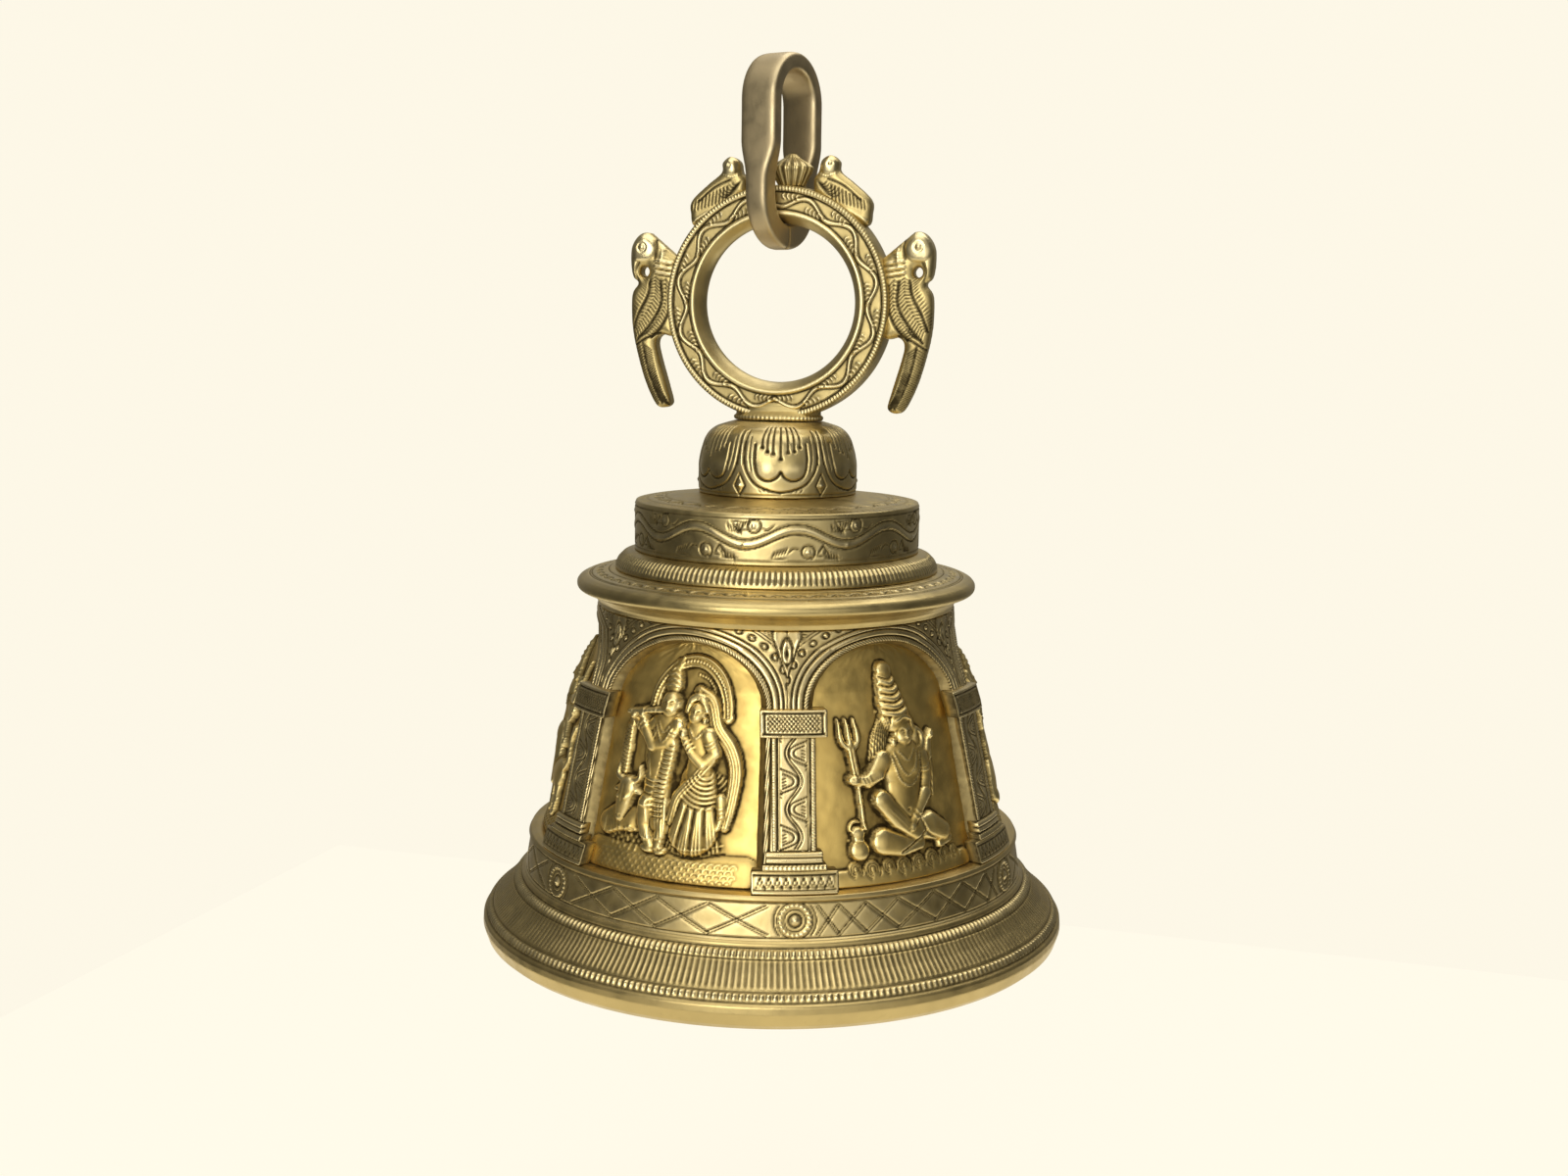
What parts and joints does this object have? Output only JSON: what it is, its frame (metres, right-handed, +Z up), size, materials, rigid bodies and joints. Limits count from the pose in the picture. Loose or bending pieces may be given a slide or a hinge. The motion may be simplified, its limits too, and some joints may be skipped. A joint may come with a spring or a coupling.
{
  "type": "temple bell",
  "caption": "Cast brass temple bell with arched relief bays, stacked lotus crown, bird-topped hanger ring in a forged link, and a hanging clapper.",
  "frame": {"origin": "centre of the mouth plane, on the bell's axis, level with the flat face of the lip", "axes": "+Z up the bell's axis to the hanging link; Y is the hanger ring's axis; -Y is the front of the ring"},
  "size_m": [0.224, 0.224, 0.3311],
  "materials": {
    "bell_brass": "cast and hand finished, dark patina in the recesses, burnished on raised edges",
    "relief_brass": "cast relief, patina in the folds, burnished high points",
    "crown_brass": "turned, engraved and polished",
    "ring_brass": "cast, engraved, satin polished",
    "link_brass": "forged, dull brown brass with rubbed edges",
    "clapper_steel": "plain worn steel",
    "clapper_brass": "plain turned brass, dull inside the bell"
  },
  "bodies": {
    "hanger": {"hanger_link": "link_brass"},
    "bell": {"bell_body": "bell_brass", "pillar_1": "bell_brass", "pillar_2": "bell_brass", "pillar_3": "bell_brass", "pillar_4": "bell_brass", "pillar_5": "bell_brass", "pillar_6": "bell_brass", "relief_flute_player_pair": "relief_brass", "relief_seated_ascetic": "relief_brass", "relief_lotus_lady": "relief_brass", "relief_elephant_headed_figure": "relief_brass", "relief_archer": "relief_brass", "relief_lion_rider": "relief_brass", "crown_flange": "crown_brass", "crown_bead_ring": "crown_brass", "crown_drum": "crown_brass", "lotus_dome": "crown_brass", "hanger_ring": "ring_brass", "parrot_left": "ring_brass", "parrot_right": "ring_brass", "top_bird_left": "ring_brass", "top_bird_right": "ring_brass", "lotus_finial": "ring_brass", "clapper_stud": "clapper_steel", "stud_washer": "clapper_steel", "stud_nut": "clapper_steel"},
    "clapper_link": {"clapper_link": "clapper_steel"},
    "clapper": {"clapper_rod": "clapper_brass", "clapper_ball": "clapper_brass"}
  },
  "joints": [
    {"name": "bell_swing", "type": "hinge", "parent": "hanger", "child": "bell", "pos_m": [0, 0, 0.2405], "axis": [0, 1, 0], "range_deg": [-30, 30]},
    {"name": "clapper_link_swing", "type": "hinge", "parent": "bell", "child": "clapper_link", "pos_m": [0, 0, 0.1065], "axis": [0, 1, 0], "range_deg": [-45, 45]},
    {"name": "clapper_swing", "type": "hinge", "parent": "clapper_link", "child": "clapper", "pos_m": [0, 0, 0.0883], "axis": [1, 0, 0], "range_deg": [-20, 20]}
  ]
}
